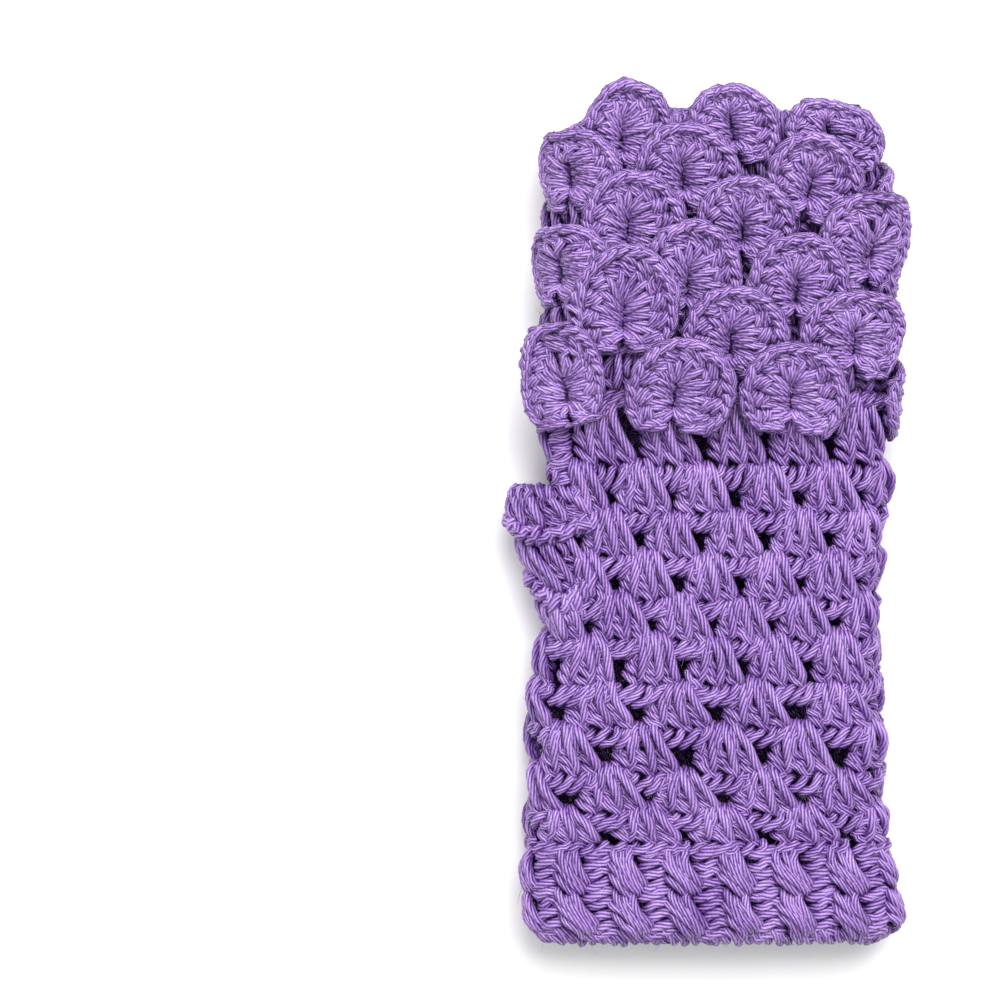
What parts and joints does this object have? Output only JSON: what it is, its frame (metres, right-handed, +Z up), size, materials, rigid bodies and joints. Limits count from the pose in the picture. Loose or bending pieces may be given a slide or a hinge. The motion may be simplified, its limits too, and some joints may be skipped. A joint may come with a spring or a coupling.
{
  "type": "crochet fingerless glove",
  "caption": "Crocheted fingerless glove with a ribbed wrist cuff, an open group-stitch hand, a side thumb opening and overlapping rounded scales up to the finger edge.",
  "frame": {"origin": "centre of the bottom of the glove's bounding box, on the surface that it lies on", "axes": "+Y from the wrist edge to the finger edge, +X away from the thumb side, +Z up out of the back of the hand"},
  "size_m": [0.0904, 0.2002, 0.0267],
  "materials": {
    "yarn": "soft matt plied yarn, mid lavender, with a faint halo of fibres"
  },
  "bodies": {
    "root": {"wrist_cuff": "yarn", "wrist_mesh": "yarn", "palm_mesh": "yarn", "thumb_cuff": "yarn", "finger_tube": "yarn", "scale_a_1": "yarn", "scale_a_2": "yarn", "scale_a_3": "yarn", "scale_a_4": "yarn", "scale_a_5": "yarn", "scale_a_6": "yarn", "scale_b_1": "yarn", "scale_b_2": "yarn", "scale_b_3": "yarn", "scale_b_4": "yarn", "scale_b_5": "yarn", "scale_b_6": "yarn", "scale_c_1": "yarn", "scale_c_2": "yarn", "scale_c_3": "yarn", "scale_c_4": "yarn", "scale_c_5": "yarn", "scale_c_6": "yarn", "scale_d_1": "yarn", "scale_d_2": "yarn", "scale_d_3": "yarn", "scale_d_4": "yarn", "scale_d_5": "yarn", "scale_d_6": "yarn", "scale_e_1": "yarn", "scale_e_2": "yarn", "scale_e_3": "yarn", "scale_e_4": "yarn", "scale_e_5": "yarn", "scale_e_6": "yarn", "scale_f_1": "yarn", "scale_f_2": "yarn", "scale_f_3": "yarn", "scale_f_4": "yarn", "scale_f_5": "yarn", "scale_f_6": "yarn"}
  },
  "joints": []
}
